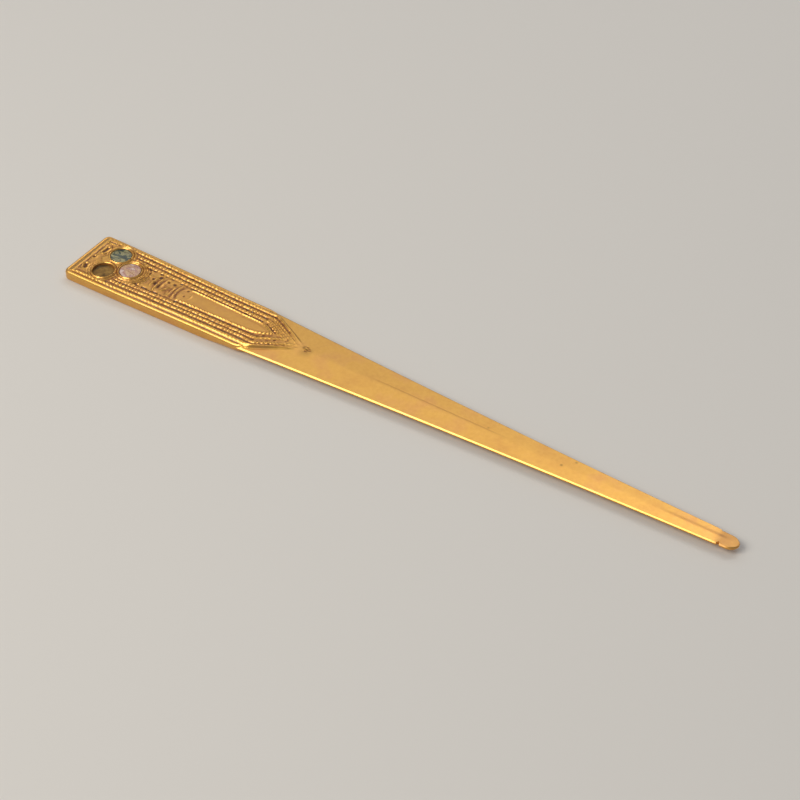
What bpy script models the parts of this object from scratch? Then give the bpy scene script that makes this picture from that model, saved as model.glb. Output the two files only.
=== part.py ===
"""A cast and gilt bronze letter opener with shell discs set in round cells near its butt.

Metres, +Z up. +X runs along the blade to its tip, and the decorated face is up. The origin is
under the middle of the whole length, on the plane that the handle's flat back rests on.
"""

import math

import bmesh
import bpy
from mathutils import Vector

MM = 0.001

# Driving dimensions, in millimetres
OVERALL_LENGTH = 229.0
BUTT_WIDTH = 22.0
HANDLE_WIDTH = 20.1
HANDLE_LENGTH = 67.9  # from the butt to the shoulder, where the arrow-shaped end begins
HANDLE_TAPER_LENGTH = 66.0
FACE_HEIGHT = 3.9  # the ground of the decorated face above the flat back
SIDE_ROUNDING = 1.1
BACK_ROUNDING = 0.7
SIDE_ROUNDING_STEPS = 4
BUTT_CORNER_RADIUS = 1.6

ARROW_ROOT_HALF_WIDTH = 9.8
ARROW_HALF_ANGLE = math.radians(27.5)
ARROW_NOSE_RADIUS = 1.6
SHOULDER_EASING = 1.0  # the shoulder's corner is cut off this far each way along x
TIGHTEST_TURN = 0.9  # no corner of an inset line is rounder than this, so that a cord can follow it

BLADE_ROOT_HALF_WIDTH = 9.92
BLADE_TAPER = 9.97  # half width lost along the blade, before the taper eases
BLADE_TAPER_EASE = 2.83
BLADE_MID_HEIGHT = 2.3
BLADE_ROOT_HALF_THICKNESS = 0.95
BLADE_TIP_HALF_THICKNESS = 0.7
BLADE_SHOULDER_HALF_THICKNESS = 0.55  # where the edge bevel starts
BLADE_EDGE_HALF_THICKNESS = 0.2
BLADE_BEVEL_WIDTH = 0.5
BLADE_NOSE_RADIUS = 2.55
BLADE_STATIONS = 24
BLADE_NOSE_STATIONS = 7
BLADE_NOSE_TURN = math.radians(88)  # just short of a quarter turn, which leaves a small flat at the tip
BLADE_BURIED_LENGTH = 8.0  # how far the blade's loft runs into the handle, so that they join
BLADE_BURIED_SLOPE = 0.1
BLADE_FULL_WIDTH_LEAD = 1.5  # how far before the shoulder the blade has its full width

CELL_RADIUS = 3.4
CELL_FLOOR_HEIGHT = 2.1
CELL_PITCH = 8.7  # between the centres of the two cells side by side
CELL_PAIR_X = 11.1
CELL_MIDDLE_X = 18.35
COLLAR_WIDTH = 0.8
COLLAR_HEIGHT = 4.4

FITTING_GAP = 0.3
CUTTER_MARGIN = 1.0  # how far a collar is sunk in the face, and a cutter stands above the collars
CEMENT_THICKNESS = 0.5
DISC_THICKNESS = 0.9
DISC_EDGE_ROUNDING = 0.15

CORD_RADIUS = 0.45  # the raised cord lines of the decoration
CORD_SINK = 0.15  # how far a cord's centre lies under the face
CORD_INSETS = (1.85, 3.8, 5.65)  # from the handle's outline to each cord
PANEL_START_X = 39.4
PANEL_HALF_WIDTH = 2.8
PANEL_END_X = 73.1
PANEL_START_SLANT = 0.6
PANEL_ARCH_LENGTH = 6.5
PANEL_ARCH_STEPS = 8

ROUND_STEPS = 48
SIDE_STEPS = 12
ARC_STEPS = 5
SMOOTH_ANGLE = math.radians(35)


# Scene, materials and finishing

def clear_scene():
    for obj in list(bpy.data.objects):
        bpy.data.objects.remove(obj, do_unlink=True)


def make_material(name, colour, roughness, metallic):
    material = bpy.data.materials.new(name)
    material.use_nodes = True
    shader = material.node_tree.nodes["Principled BSDF"]
    shader.inputs["Base Color"].default_value = (*colour, 1.0)
    shader.inputs["Roughness"].default_value = roughness
    shader.inputs["Metallic"].default_value = metallic
    return material


def gilt_bronze():
    return make_material("gilt bronze", (0.78, 0.46, 0.16), 0.34, 1.0)


def green_shell():
    return make_material("green shell", (0.14, 0.20, 0.14), 0.2, 0.0)


def pink_shell():
    return make_material("pink shell", (0.66, 0.46, 0.38), 0.2, 0.0)


def old_cement():
    return make_material("old cement", (0.13, 0.09, 0.03), 0.85, 0.0)


def along(x):
    """A distance from the butt, in millimetres, as the frame's x in metres."""
    return (x - OVERALL_LENGTH / 2) * MM


def place(x, y, z):
    return Vector((along(x), y * MM, z * MM))


def add_object(name, mesh, material):
    obj = bpy.data.objects.new(name, mesh)
    obj.data.materials.append(material)
    bpy.context.scene.collection.objects.link(obj)
    return obj


def object_from_bmesh(name, bm, material):
    bmesh.ops.recalc_face_normals(bm, faces=bm.faces)
    mesh = bpy.data.meshes.new(name)
    bm.to_mesh(mesh)
    bm.free()
    return add_object(name, mesh, material)


def smooth(obj):
    obj.data.shade_smooth()
    obj.data.set_sharp_from_angle(angle=SMOOTH_ANGLE)


def make_helper(obj):
    obj.hide_render = True
    obj.display_type = "WIRE"


def combine(obj, other, operation):
    """Adds a Boolean of the other object, which becomes a helper."""
    modifier = obj.modifiers.new(f"{operation.lower()} {other.name}", "BOOLEAN")
    modifier.operation = operation
    modifier.solver = "EXACT"
    modifier.object = other
    make_helper(other)


# Outline of the handle, and the lines that follow it

def handle_half_width(x):
    """The sides draw in from the butt on an easy curve, then run parallel."""
    share = min(x / HANDLE_TAPER_LENGTH, 1.0)
    ease = (1 + math.cos(math.pi * share)) / 2
    return (HANDLE_WIDTH + (BUTT_WIDTH - HANDLE_WIDTH) * ease) / 2


def arc(centre_x, centre_y, radius, start, end, steps):
    turns = [start + (end - start) * i / steps for i in range(steps + 1)]
    return [(centre_x + radius * math.cos(a), centre_y + radius * math.sin(a)) for a in turns]


def arrow_half_width(x, inset):
    drop = (x - HANDLE_LENGTH) * math.tan(ARROW_HALF_ANGLE)
    return ARROW_ROOT_HALF_WIDTH - drop - inset / math.cos(ARROW_HALF_ANGLE)


def arrow_start(inset):
    """Where the straight slope of the arrow meets the parallel side."""
    rise = HANDLE_WIDTH / 2 - inset - arrow_half_width(HANDLE_LENGTH, inset)
    return HANDLE_LENGTH - rise / math.tan(ARROW_HALF_ANGLE)


def half_outline(inset):
    """From the butt's middle round the +Y side to the arrow's point."""
    corner = max(BUTT_CORNER_RADIUS - inset, TIGHTEST_TURN)
    corner_y = handle_half_width(inset) - inset - corner
    points = [(inset, 0.0)]
    points += arc(inset + corner, corner_y, corner, math.pi, math.pi / 2, ARC_STEPS)
    first = inset + corner
    last = arrow_start(inset) - SHOULDER_EASING
    for i in range(1, SIDE_STEPS + 1):
        x = first + (last - first) * i / SIDE_STEPS
        points.append((x, handle_half_width(x) - inset))
    past_corner = arrow_start(inset) + SHOULDER_EASING
    points.append((past_corner, arrow_half_width(past_corner, inset)))
    nose = max(ARROW_NOSE_RADIUS - inset, TIGHTEST_TURN)
    apex = HANDLE_LENGTH + arrow_half_width(HANDLE_LENGTH, inset) / math.tan(ARROW_HALF_ANGLE)
    nose_x = apex - nose / math.sin(ARROW_HALF_ANGLE)
    points += arc(nose_x, 0.0, nose, math.pi / 2 - ARROW_HALF_ANGLE, 0.0, ARC_STEPS)
    return points


def full_outline(half):
    """The half and its mirror image, as one closed ring whose two middle points aren't repeated."""
    return half + [(x, -y) for x, y in reversed(half[1:-1])]


def half_panel():
    """The plain panel: a straight bar with a pointed arch at its blade end."""
    points = [(PANEL_START_X, 0.0), (PANEL_START_X + PANEL_START_SLANT, PANEL_HALF_WIDTH)]
    arch_x = PANEL_END_X - PANEL_ARCH_LENGTH
    for i in range(PANEL_ARCH_STEPS + 1):
        share = i / PANEL_ARCH_STEPS
        points.append((arch_x + PANEL_ARCH_LENGTH * share, PANEL_HALF_WIDTH * (1 - share**2)))
    return points


# The casting

def loft(name, rings, material):
    """Bridges closed rings of points, one to the next, and closes both ends."""
    bm = bmesh.new()
    loops = []
    for ring in rings:
        verts = [bm.verts.new(point) for point in ring]
        loops.append([bm.edges.new((verts[i - 1], verts[i])) for i in range(len(verts))])
    for first, second in zip(loops, loops[1:]):
        bmesh.ops.bridge_loops(bm, edges=first + second)
    bmesh.ops.contextual_create(bm, geom=loops[0])
    bmesh.ops.contextual_create(bm, geom=loops[-1])
    return object_from_bmesh(name, bm, material)


def side_profile():
    """(inset, height) up the rounded side wall, from the back face to the decorated face."""
    turns = [0.5 * math.pi * i / SIDE_ROUNDING_STEPS for i in range(SIDE_ROUNDING_STEPS + 1)]
    lower = [(BACK_ROUNDING * (1 - math.sin(a)), BACK_ROUNDING * (1 - math.cos(a))) for a in turns]
    top = FACE_HEIGHT
    upper = [(SIDE_ROUNDING * (1 - math.cos(a)), top - SIDE_ROUNDING * (1 - math.sin(a))) for a in turns]
    return lower + upper


def make_handle(material):
    rings = []
    for inset, height in side_profile():
        rings.append([place(x, y, height) for x, y in full_outline(half_outline(inset))])
    return loft("letter_opener_casting", rings, material)


def blade_half_width(x):
    """It tapers to the tip, and it narrows the other way inside the handle, clear of its sides."""
    share = max((x - HANDLE_LENGTH) / (OVERALL_LENGTH - HANDLE_LENGTH), 0.0)
    buried = max(HANDLE_LENGTH - BLADE_FULL_WIDTH_LEAD - x, 0.0) * BLADE_BURIED_SLOPE
    return BLADE_ROOT_HALF_WIDTH - BLADE_TAPER * share + BLADE_TAPER_EASE * share**2 - buried


def blade_stations():
    """(x, half width, share of the way to the tip) of each section, closer together round the nose."""
    start = HANDLE_LENGTH - BLADE_BURIED_LENGTH
    nose_x = OVERALL_LENGTH - BLADE_NOSE_RADIUS
    stations = []
    for i in range(BLADE_STATIONS + 1):
        x = start + (nose_x - start) * i / BLADE_STATIONS
        stations.append((x, blade_half_width(x)))
    nose_half_width = stations[-1][1]
    for i in range(1, BLADE_NOSE_STATIONS + 1):
        turn = BLADE_NOSE_TURN * i / BLADE_NOSE_STATIONS
        x = nose_x + BLADE_NOSE_RADIUS * math.sin(turn)
        stations.append((x, nose_half_width * math.cos(turn)))
    stations[-1] = (OVERALL_LENGTH, stations[-1][1])
    return [(x, half, (x - start) / (OVERALL_LENGTH - start)) for x, half in stations]


def blade_section(half_width, share):
    """A shallow roof on each face, with a bevel along each edge: ten points round the section."""
    crown = BLADE_ROOT_HALF_THICKNESS + (BLADE_TIP_HALF_THICKNESS - BLADE_ROOT_HALF_THICKNESS) * share
    inner = max(half_width - BLADE_BEVEL_WIDTH, half_width / 2)
    upper = [
        (half_width, BLADE_EDGE_HALF_THICKNESS),
        (inner, BLADE_SHOULDER_HALF_THICKNESS),
        (0.0, crown),
        (-inner, BLADE_SHOULDER_HALF_THICKNESS),
        (-half_width, BLADE_EDGE_HALF_THICKNESS),
    ]
    return upper + [(y, -z) for y, z in reversed(upper)]


def make_blade(material):
    rings = []
    for x, half_width, share in blade_stations():
        section = blade_section(half_width, share)
        rings.append([place(x, y, BLADE_MID_HEIGHT + z) for y, z in section])
    return loft("blade_loft", rings, material)


def make_cord(name, outline, material):
    """A raised line of the decoration: a closed round bar half sunk in the handle's face."""
    curve = bpy.data.curves.new(name, "CURVE")
    curve.dimensions = "3D"
    curve.bevel_depth = CORD_RADIUS * MM
    curve.bevel_resolution = 1
    spline = curve.splines.new("POLY")
    spline.points.add(len(outline) - 1)
    for point, (x, y) in zip(spline.points, outline):
        point.co = (*place(x, y, FACE_HEIGHT - CORD_SINK), 1.0)
    spline.use_cyclic_u = True
    guide = bpy.data.objects.new(name + "_guide", curve)
    bpy.context.scene.collection.objects.link(guide)
    mesh = bpy.data.meshes.new_from_object(guide.evaluated_get(bpy.context.evaluated_depsgraph_get()))
    mesh.materials.clear()
    bpy.data.objects.remove(guide, do_unlink=True)
    return add_object(name, mesh, material)


def cell_centres():
    return {
        "far": (CELL_PAIR_X, CELL_PITCH / 2),
        "near": (CELL_PAIR_X, -CELL_PITCH / 2),
        "middle": (CELL_MIDDLE_X, 0.0),
    }


def make_cylinder(name, centre, radius, bottom, top, material):
    bm = bmesh.new()
    bmesh.ops.create_cone(
        bm,
        cap_ends=True,
        segments=ROUND_STEPS,
        radius1=radius * MM,
        radius2=radius * MM,
        depth=(top - bottom) * MM,
    )
    bmesh.ops.translate(bm, verts=bm.verts, vec=place(*centre, (top + bottom) / 2))
    return object_from_bmesh(name, bm, material)


def make_casting(material):
    casting = make_handle(material)
    combine(casting, make_blade(material), "UNION")
    for number, inset in enumerate(CORD_INSETS, start=1):
        cord = make_cord(f"cord_line_{number}", full_outline(half_outline(inset)), material)
        combine(casting, cord, "UNION")
    combine(casting, make_cord("panel_border", full_outline(half_panel()), material), "UNION")
    outer = CELL_RADIUS + COLLAR_WIDTH
    sunk = FACE_HEIGHT - CUTTER_MARGIN
    above = COLLAR_HEIGHT + CUTTER_MARGIN
    for name, centre in cell_centres().items():
        collar = make_cylinder(f"{name}_collar", centre, outer, sunk, COLLAR_HEIGHT, material)
        combine(casting, collar, "UNION")
    for name, centre in cell_centres().items():
        cell = make_cylinder(f"{name}_cell", centre, CELL_RADIUS, CELL_FLOOR_HEIGHT, above, material)
        combine(casting, cell, "DIFFERENCE")
    smooth(casting)
    return casting


# What sits in the cells

def cement_bottom():
    return CELL_FLOOR_HEIGHT + FITTING_GAP


def make_cement(name, centre, material):
    bottom = cement_bottom()
    radius = CELL_RADIUS - FITTING_GAP
    cement = make_cylinder(name, centre, radius, bottom, bottom + CEMENT_THICKNESS, material)
    smooth(cement)


def make_disc(name, centre, material):
    bottom = cement_bottom() + CEMENT_THICKNESS + FITTING_GAP
    radius = CELL_RADIUS - FITTING_GAP
    disc = make_cylinder(name, centre, radius, bottom, bottom + DISC_THICKNESS, material)
    bevel = disc.modifiers.new("eased edge", "BEVEL")
    bevel.width = DISC_EDGE_ROUNDING * MM
    bevel.segments = 2
    bevel.limit_method = "ANGLE"
    smooth(disc)


def main():
    clear_scene()
    cement = old_cement()
    centres = cell_centres()
    make_casting(gilt_bronze())
    make_disc("green_shell_disc", centres["far"], green_shell())
    make_disc("pink_shell_disc", centres["middle"], pink_shell())
    make_cement("green_disc_cement", centres["far"], cement)
    make_cement("pink_disc_cement", centres["middle"], cement)
    make_cement("empty_cell_cement", centres["near"], cement)


main()
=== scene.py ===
import math

import bmesh
import bpy
import numpy as np
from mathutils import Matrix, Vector


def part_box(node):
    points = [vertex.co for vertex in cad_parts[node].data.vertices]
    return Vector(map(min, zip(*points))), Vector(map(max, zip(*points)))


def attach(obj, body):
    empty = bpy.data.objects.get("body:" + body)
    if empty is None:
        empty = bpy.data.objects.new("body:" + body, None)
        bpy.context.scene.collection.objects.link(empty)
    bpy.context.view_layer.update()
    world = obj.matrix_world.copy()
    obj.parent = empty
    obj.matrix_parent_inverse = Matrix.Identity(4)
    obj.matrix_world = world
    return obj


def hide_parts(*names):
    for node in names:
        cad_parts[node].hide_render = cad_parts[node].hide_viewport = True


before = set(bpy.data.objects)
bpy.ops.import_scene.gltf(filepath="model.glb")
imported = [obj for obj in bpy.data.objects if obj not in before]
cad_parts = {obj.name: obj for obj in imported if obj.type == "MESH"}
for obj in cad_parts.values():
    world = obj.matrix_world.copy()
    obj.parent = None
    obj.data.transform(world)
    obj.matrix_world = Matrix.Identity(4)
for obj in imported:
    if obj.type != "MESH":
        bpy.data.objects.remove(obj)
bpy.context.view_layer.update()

mm = 0.001
castLow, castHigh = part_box("letter_opener_casting")
buttX = castLow.x  # the frame's x at the butt
fullLength = (castHigh.x - castLow.x) / mm
crestHeight = castHigh.z / mm  # top of the collars


def cellCentre(nodeName):
    # (x from the butt, y, top of the piece), in mm
    low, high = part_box(nodeName)
    return ((low.x + high.x) / 2 - buttX) / mm, (low.y + high.y) / 2 / mm, high.z / mm


cells = {
    "green": cellCentre("green_shell_disc"),
    "pink": cellCentre("pink_shell_disc"),
    "empty": cellCentre("empty_cell_cement"),
}

# Lengths are in mm from here on, with x from the butt and z from the flat back
# The far side is +y and the near side -y
# A pair whose name ends in X is where something fades in or out along the length

# Small tools

def smoothStep(low, high, value):
    t = np.clip((value - low) / (high - low), 0, 1)
    return t * t * (3 - 2 * t)


def blend(first, second, share):
    return first * (1 - share) + second * share


def hump(distance, halfWidth):
    # a rounded bar's section: 1 on its line, 0 at its sides
    s = np.clip(np.abs(distance) / halfWidth, 0, 1)
    return (1 - s * s) ** 1.2


def softMin(first, second, ease):
    h = np.clip(0.5 + 0.5 * (second - first) / ease, 0, 1)
    return second + (first - second) * h - ease * h * (1 - h)


def roundCorner(first, second, radius):
    # distance inside two edges whose corner is rounded
    corner = radius - np.hypot(radius - first, radius - second)
    return np.where((first < radius) & (second < radius), corner, np.minimum(first, second))


def scatter(index, row):
    # a repeatable number from 0 to 1 for each step along each row
    return np.mod(np.sin(index * 12.9898 + row * 78.233) * 43758.5453, 1.0)


waves = ((0.5, 0.37, 1.7), (0.3, 0.83, 2.9), (0.2, 1.9, 4.1))  # share, pace along x, shift from row to row


def wobble(x, row, size=1.0):
    # slow drift of a hand-drawn line
    return size * sum(share * np.sin(x * pace + row * shift) for share, pace, shift in waves)


def mottle(x, y, scale, row):
    # smooth two-way noise from -1 to 1 on a lattice of the given size
    u, v = x / scale, y / scale
    cellU, cellV = np.floor(u), np.floor(v)
    fu, fv = u - cellU, v - cellV
    fu, fv = fu * fu * (3 - 2 * fu), fv * fv * (3 - 2 * fv)

    def corner(du, dv):
        return scatter((cellU + du) + (cellV + dv) * 57.0, row)

    low = corner(0, 0) * (1 - fu) + corner(1, 0) * fu
    high = corner(0, 1) * (1 - fu) + corner(1, 1) * fu
    return 2 * (low * (1 - fv) + high * fv) - 1


def spot(x, y, px, py, sizeX, sizeY):
    # 1 at a point, falling to 0 at an ellipse round it
    return np.clip(1 - ((x - px) / sizeX) ** 2 - ((y - py) / sizeY) ** 2, 0, 1)


# Outline

handle = {
    "buttHalfWidth": 10.97,
    "halfWidth": 10.02,
    "taperLength": 66.0,
    "cornerRadius": 1.95,
    "shoulderX": 67.9,
    "shoulderEase": 1.0,
    "arrowRootHalfWidth": 9.78,
    "arrowAngle": math.radians(27.5),
    "arrowNoseRadius": 1.9,
    "arrowSkew": 0.45,  # the point sits a little off the middle line
    "arrowSkewX": (70, 84),
    "arrowX": (66.5, 70.5),
    "wallTop": 2.4,  # where the rounding of the top edge starts
    "edgeRounding": 1.0,
    "rim": 3.45,  # the smooth border along the sides
    "arrowWallTop": 2.9,
    "arrowRounding": 0.6,
    "arrowRim": 4.1,
    "arrowFoot": 0.25,  # how far outside its outline the arrow's wall starts to rise
    "wallSlopes": (3.5, 1.8),  # of the side walls and of the arrow's
    "sinkX": (74, 84.5),  # where the arrow sinks into the blade
    "sink": 0.97,
    "backRounding": 0.7,
    "shoulderBackEase": 1.5,  # the back edges round off more toward the shoulder
    "shoulderBackX": (52, 66),
}

blade = {
    "rootHalfWidth": 9.9,
    "taper": 9.97,
    "taperEase": 2.83,
    "noseRadius": 3.0,
    "noseFlat": 0.0012,  # keeps the last section open
    "noseThinning": 2.0,
    "midHeight": 2.3,
    "rootCrown": 0.93,  # half thickness on the middle line
    "tipCrown": 0.68,
    "crownRounding": 0.5,
    "shoulder": 0.55,  # half thickness where the edge bevel starts
    "edge": 0.18,
    "bevelWidth": 0.42,
    "scratch": (0.95, 0.35, 0.02),  # y, half width and depth of a faint hollow line
    "scratchX": ((104, 114), (158, 150)),
    "nickX": (223.8, 223.0),  # near side, far side, as in the next three pairs
    "nickWidth": 0.42,
    "nickDepth": (0.7, 0.3),
    "tipNarrowing": (0.0, 0.4),  # past the nicks
    "tipNarrowingX": (221, 224.5),
}


def handleHalfWidth(x):
    ease = (1 + np.cos(np.pi * np.clip(x / handle["taperLength"], 0, 1))) / 2
    return handle["halfWidth"] + (handle["buttHalfWidth"] - handle["halfWidth"]) * ease


def bladeHalfWidth(x):
    share = np.clip((x - handle["shoulderX"]) / (fullLength - handle["shoulderX"]), 0, 1)
    half = blade["rootHalfWidth"] - blade["taper"] * share + blade["taperEase"] * share**2
    into = np.clip((x - (fullLength - blade["noseRadius"])) / blade["noseRadius"], 0, 1)
    return half * np.sqrt(np.maximum(1 - into**2, blade["noseFlat"]))


def outline(x, side):
    # half width of the whole plan, with the butt's rounded corners and the tip's nicks
    bladeShare = smoothStep(handle["taperLength"], handle["shoulderX"], x)
    half = blend(handleHalfWidth(x), bladeHalfWidth(x), bladeShare)
    radius = handle["cornerRadius"]
    into = np.clip(radius - x, 0, radius)
    half = half - (radius - np.sqrt(radius**2 - into**2))
    nick = np.clip(1 - np.abs(x - blade["nickX"][side]) / blade["nickWidth"], 0, 1)
    narrowed = blade["tipNarrowing"][side] * smoothStep(*blade["tipNarrowingX"], x) * smoothStep(0, 2, half)
    return half - narrowed - blade["nickDepth"][side] * nick


def skewed(x, y):
    return y - handle["arrowSkew"] * smoothStep(*handle["arrowSkewX"], x)


def insets(x, y):
    # how far a point lies inside the raised handle's outline, inside its smooth border, and inside the lines
    y = skewed(x, y)
    side = handleHalfWidth(x) - np.abs(y)
    angle = handle["arrowAngle"]
    slope = handle["arrowRootHalfWidth"] - (x - handle["shoulderX"]) * math.tan(angle)
    far, near = (slope - y) * math.cos(angle), (slope + y) * math.cos(angle)
    slant = roundCorner(far, near, handle["arrowNoseRadius"])
    ease, radius = handle["shoulderEase"], handle["cornerRadius"]
    turned = softMin(side, slant + relief["arrowShift"], ease)
    plate = roundCorner(x, softMin(side, slant, ease), radius)
    inner = roundCorner(x - relief["buttShift"], turned, radius)
    inner = inner - relief["lineDrift"] * (x - relief["driftFrom"])
    return plate, roundCorner(x, turned, radius), inner


# Relief of the decorated face

relief = {
    "ground": 3.6,  # the floor of the relief
    "grain": ((0.03, 0.5, 1), (0.03, 1.1, 2)),  # height, size, row
    "groove": (1.28, 0.34, 0.26),  # inset, half width and depth, between the smooth border and the rope
    "start": (1.15, 1.5),  # insets between which the relief takes over from the border
    "buttShift": 0.85,  # the lines stand this much further in along the butt
    "arrowShift": 1.6,  # and turn in this much sooner than the outline does at the shoulder
    "lineDrift": 0.007,  # they close in on the middle line toward the arrow
    "driftFrom": 34,
    "nearShift": 0.22,  # the outer lines stand this much further in on the near side
    "pitDepth": 0.44,
}

rope = {
    "inset": 1.9,
    "halfWidth": 0.72,
    "height": 0.5,
    "pitch": 1.35,
    "slant": 0.9,
    "aroundCell": 2.0,  # how far outside a cell's wall it is pushed
    "wander": 0.06,
    "pitchDrift": 0.25,
    "twist": (0.74, 0.26),  # its steady height and the twist's share
    "wear": (0.55, 0.45),  # steady and patchy shares of the twist
    "twistX": (3, 4.5),
    "buttShares": (0.6, 0.4),
    "buttX": (3.2, 4.4),
    "arrowX": (68, 71),
    "arrowShare": 0.9,
    "arrowThinning": 0.28,
    "nearShiftX": (72, 66),
}

lines = {
    "insets": ((3.8, 3.3), (5.6, 5.45)),  # of the two beaded lines, along the handle and in the arrow
    "extraInsets": (4.1, 4.8, 6.2, 7.0),  # finer lines that join them on the far side of the arrow
    "halfWidth": 0.62,
    "arrowThinning": (0.1, 0.22),  # on both sides, and further on the far side
    "height": 0.42,
    "lowering": 0.05,  # from line to line
    "beadPitch": 1.25,
    "beading": 0.75,
    "wander": 0.1,
    "grooveInsets": (2.85, 4.7, 6.5),
    "grooveShare": 0.1,
    "pitPitch": 1.5,
    "startX": (13.5, 15.5),
    "lastGrooveX": (21, 24),
    "arrowX": (66, 71),
    "clearOfCell": (1.6, 2.2),
}

panel = {
    "halfWidth": 3.0,
    "taper": 0.022,
    "start": 40.7,
    "notch": 1.7,
    "end": 73.2,
    "arch": 6.3,
    "height": 0.16,
    "crown": 0.03,
    "unevenness": 0.008,
    "innerLine": (0.95, 0.3, 0.04),  # inset, half width and depth of a fine line toward the arch
    "innerLineX": (59, 62),
    "borderHeight": 0.54,
    "borderHalfWidth": 0.4,
    "borderBeading": 0.5,
    "borderPitch": 1.1,
    "farBeading": (0.4, 0.6),  # beaded and steady shares on the far side
    "openStart": 0.6,  # how much of the border is missing at the start
    "tabStart": 37.4,  # a low tab before the panel
    "tabHeight": 0.24,
    "tabEndX": (42.6, 42.2),
}

collar = {
    "wallRadius": 3.45,
    "halfWidth": 0.34,
    "foot": 0.06,
    "height": 0.52,
    "second": (1.17, 0.34, 0.36),  # a second ring: distance from the wall, half width, height
    "third": (1.9, 0.3, 0.3),  # and a third, only toward the butt on the near side
    "thirdX": (9.5, 8.0),
    "ripples": (5.3, 6.1, 7.05),  # radii of the ripples round the pink disc
    "rippleHalfWidth": 0.34,
    "rippleHeight": 0.4,
    "rippleX": (18, 20.5),
    "barHalfWidth": 0.55,
}

bars = (  # x on the middle line, lean, bow, from y, to y, height
    (27.7, 0.0, 0.05, -2.0, 2.2, 0.5),
    (29.6, 0.0, 0.03, -3.2, 2.6, 0.5),
    (31.2, 0.02, 0.02, -1.4, 3.4, 0.36),
    (33.4, 0.42, 0.0, -2.4, 0.9, 0.46),
    (34.0, -0.3, 0.0, -3.2, -1.4, 0.35),
    (35.3, 0.0, 0.02, -3.2, 1.6, 0.44),
    (36.7, 0.0, 0.045, -3.4, 3.6, 0.42),
)

hollows = (  # x, y, half length, half width, depth
    (23.2, 4.3, 1.4, 0.55, 1.0),
    (19.2, 4.75, 1.2, 0.3, 0.8),
    (24.6, 2.6, 0.4, 0.6, 0.8),
    (26.8, 1.2, 0.5, 0.5, 1.0),
    (28.5, 2.9, 0.75, 0.9, 0.9),
    (28.7, -0.3, 0.6, 0.8, 0.9),
    (30.5, -1.0, 0.5, 0.9, 0.5),
    (32.1, 2.3, 0.45, 0.4, 0.6),
    (34.2, 2.5, 0.7, 0.6, 0.8),
    (23.9, -4.0, 0.85, 0.5, 1.0),
    (27.2, -3.9, 1.3, 0.4, 1.0),
    (31.4, -3.9, 1.0, 0.45, 1.0),
    (39.4, -3.85, 0.9, 0.45, 1.0),
    (39.9, 2.1, 0.5, 0.4, 0.7),
    (40.2, -0.6, 0.4, 0.5, 0.5),
    (36.3, -4.6, 0.5, 0.4, 0.6),
)

butt = {
    "loops": (  # from, to, radius, half width, share of the height, depth of the slot
        ((5.2, 2.9), (5.3, 5.0), 0.85, 0.42, 1.0, 0.8),
        ((4.5, -4.9), (5.1, -6.2), 0.95, 0.42, 1.0, 1.0),
        ((4.2, -0.7), (4.3, -0.4), 0.75, 0.4, 0.8, 0.6),
        ((3.6, 8.1), (6.0, 8.2), 0.55, 0.4, 0.9, 0.6),
    ),
    "loopHeight": 0.24,
    "slotShare": 0.62,  # of the loop's radius
    "padHeight": 0.16,
    "padX": ((2.3, 3.0), (8.8, 7.6)),
    "padY": (8.4, 7.6),
    "stepHeight": 0.34,  # a short step behind the green disc
    "speckHeight": 0.34,
    "specks": ((5.1, 0.5, 0.45, 0.4), (6.1, -2.1, 0.4, 0.5)),
    "lozengeHeight": 0.36,
    "lozenge": (8.3, 0.6),
    "borderHollow": 0.45,
    "cellHollow": 0.4,
}


def cellDistance(x, y, keys=("green", "pink", "empty")):
    # distance outside the nearest cell's wall
    reach = [np.hypot(x - cells[key][0], y - cells[key][1]) for key in keys]
    return np.min(reach, axis=0) - collar["wallRadius"]


def panelInset(x, y):
    half = panel["halfWidth"] - panel["taper"] * (x - panel["start"])
    start = panel["start"] + panel["notch"] * (1 - (y / panel["halfWidth"]) ** 2)
    into = np.clip((x - (panel["end"] - panel["arch"])) / panel["arch"], 0, 1.5)
    return np.minimum(half * (1 - into**1.6) - np.abs(y), x - start)


def beads(along, row, pitch, amount):
    # uneven swellings along a line
    drift = wobble(along * 0.9, row, 0.35)
    step = np.floor((along + drift) / pitch)
    size = 0.25 + 0.75 * scatter(step, row)
    return 1 - amount * size * (0.5 - 0.5 * np.cos(2 * np.pi * (along + drift) / pitch))


def pits(along, across, row, pitch):
    # punched hollows of uneven size, scattered along a groove, about a third of them missing
    found = np.zeros_like(along)
    step = np.floor(along / pitch)
    for shift in (-1, 0, 1):
        index = step + shift
        centre = (index + 0.15 + 0.7 * scatter(index, row + 5)) * pitch
        length = 0.24 + 0.5 * scatter(index, row + 9)
        size = np.where(scatter(index, row + 3) > 0.35, 0.4 + 0.6 * scatter(index, row + 7), 0)
        reach = np.hypot((along - centre) / length, (across - 0.1 * np.sin(index * 2.3)) / 0.32)
        found = np.maximum(found, size * np.clip(1 - reach**2, 0, 1) ** 0.7)
    return found


def loop(x, y, start, end, radius, halfWidth):
    # a raised loop drawn round a short slot, and the slot
    (ax, ay), (bx, by) = start, end
    length = (bx - ax) ** 2 + (by - ay) ** 2
    share = np.clip(((x - ax) * (bx - ax) + (y - ay) * (by - ay)) / length, 0, 1)
    reach = np.hypot(x - ax - share * (bx - ax), y - ay - share * (by - ay))
    return hump(reach - radius, halfWidth), np.clip(1 - (reach / (radius * butt["slotShare"])) ** 2, 0, 1)


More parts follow.
